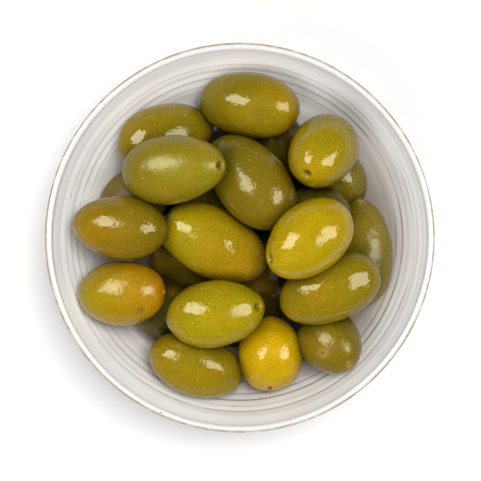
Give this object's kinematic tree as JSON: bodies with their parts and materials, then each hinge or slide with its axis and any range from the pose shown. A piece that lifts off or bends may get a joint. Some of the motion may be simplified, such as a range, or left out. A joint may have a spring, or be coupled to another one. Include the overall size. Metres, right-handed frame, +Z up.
{
  "type": "dish of olives",
  "caption": "Small round glazed bowl on a foot ring, heaped with whole green olives.",
  "frame": {"origin": "middle of the underside of the bowl's foot ring, on the surface it stands on", "axes": "+Z up out of the bowl, +X to the right and +Y to the back of someone looking down into it"},
  "size_m": [0.13, 0.13, 0.0764],
  "materials": {
    "glaze": "glossy",
    "olive_skin": "glossy"
  },
  "bodies": {
    "root": {"bowl": "glaze", "olives": "olive_skin"}
  },
  "joints": []
}
